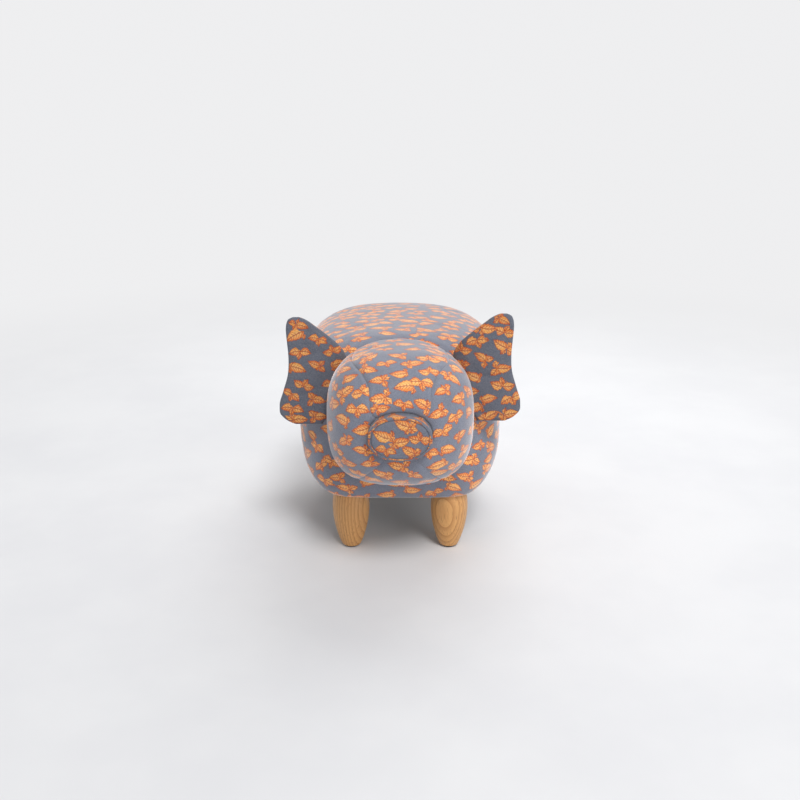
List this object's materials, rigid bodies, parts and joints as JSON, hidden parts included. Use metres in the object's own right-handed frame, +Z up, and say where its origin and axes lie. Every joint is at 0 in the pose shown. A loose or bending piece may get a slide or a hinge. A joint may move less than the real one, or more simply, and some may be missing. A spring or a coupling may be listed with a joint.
{
  "type": "animal footstool",
  "caption": "Upholstered pig-shaped footstool with a padded body, rounded head, oval snout, flap ears, curled tail and turned wooden legs.",
  "frame": {"origin": "on the floor under the middle of the stool's length and width", "axes": "+X to the stool's right as seen from in front, +Y from the head to the tail, +Z up"},
  "size_m": [0.3674, 0.5738, 0.3943],
  "materials": {
    "printed_cloth": "matte",
    "ear_cloth": "matte",
    "snout_cloth": "matte",
    "foam": "matte",
    "stuffing": "matte",
    "oiled_hardwood": "satin",
    "plywood": "matte",
    "pine": "matte",
    "zinc_steel": "satin",
    "glide_plastic": "matte",
    "dust_lining": "matte"
  },
  "bodies": {
    "stool": {"cover_body": "printed_cloth", "cover_rear": "printed_cloth", "cover_forehead": "printed_cloth", "cover_cheek_left": "printed_cloth", "cover_cheek_right": "printed_cloth", "cover_chin": "printed_cloth", "tail": "printed_cloth", "snout_band": "snout_cloth", "snout_disc": "snout_cloth", "seat_foam": "foam", "side_foam_left": "foam", "side_foam_right": "foam", "front_foam": "foam", "rear_foam": "foam", "head_foam": "foam", "snout_foam": "foam", "side_rail_left": "pine", "side_rail_right": "pine", "front_rail": "pine", "rear_rail": "pine", "centre_rib": "pine", "neck_block": "pine", "corner_block_front_left": "pine", "corner_block_front_right": "pine", "corner_block_rear_left": "pine", "corner_block_rear_right": "pine", "base_board": "plywood", "seat_board": "plywood", "base_screw_front": "zinc_steel", "base_screw_left": "zinc_steel", "base_screw_rear": "zinc_steel", "base_screw_right": "zinc_steel", "neck_screw_lower": "zinc_steel", "neck_screw_upper": "zinc_steel", "leg_front_left": "oiled_hardwood", "hanger_bolt_front_left": "zinc_steel", "insert_front_left": "zinc_steel", "glide_front_left": "glide_plastic", "leg_front_right": "oiled_hardwood", "hanger_bolt_front_right": "zinc_steel", "insert_front_right": "zinc_steel", "glide_front_right": "glide_plastic", "leg_rear_left": "oiled_hardwood", "hanger_bolt_rear_left": "zinc_steel", "insert_rear_left": "zinc_steel", "glide_rear_left": "glide_plastic", "leg_rear_right": "oiled_hardwood", "hanger_bolt_rear_right": "zinc_steel", "insert_rear_right": "zinc_steel", "glide_rear_right": "glide_plastic", "dust_cover": "dust_lining", "ear_root_left": "ear_cloth", "ear_root_right": "ear_cloth"},
    "ear_left": {"ear_front_left": "ear_cloth", "ear_back_left": "ear_cloth", "ear_filling_left": "stuffing"},
    "ear_right": {"ear_front_right": "ear_cloth", "ear_back_right": "ear_cloth", "ear_filling_right": "stuffing"}
  },
  "joints": [
    {"name": "ear_left_bend", "type": "hinge", "parent": "stool", "child": "ear_left", "pos_m": [-0.11849, -0.13864, 0.226], "axis": [0.1392, 0, 0.9903], "range_deg": [-25, 45], "stiffness_Nm_per_rad": 0.3},
    {"name": "ear_right_bend", "type": "hinge", "parent": "stool", "child": "ear_right", "pos_m": [0.11849, -0.13864, 0.226], "axis": [0.1392, 0, -0.9903], "range_deg": [-25, 45], "stiffness_Nm_per_rad": 0.3}
  ]
}
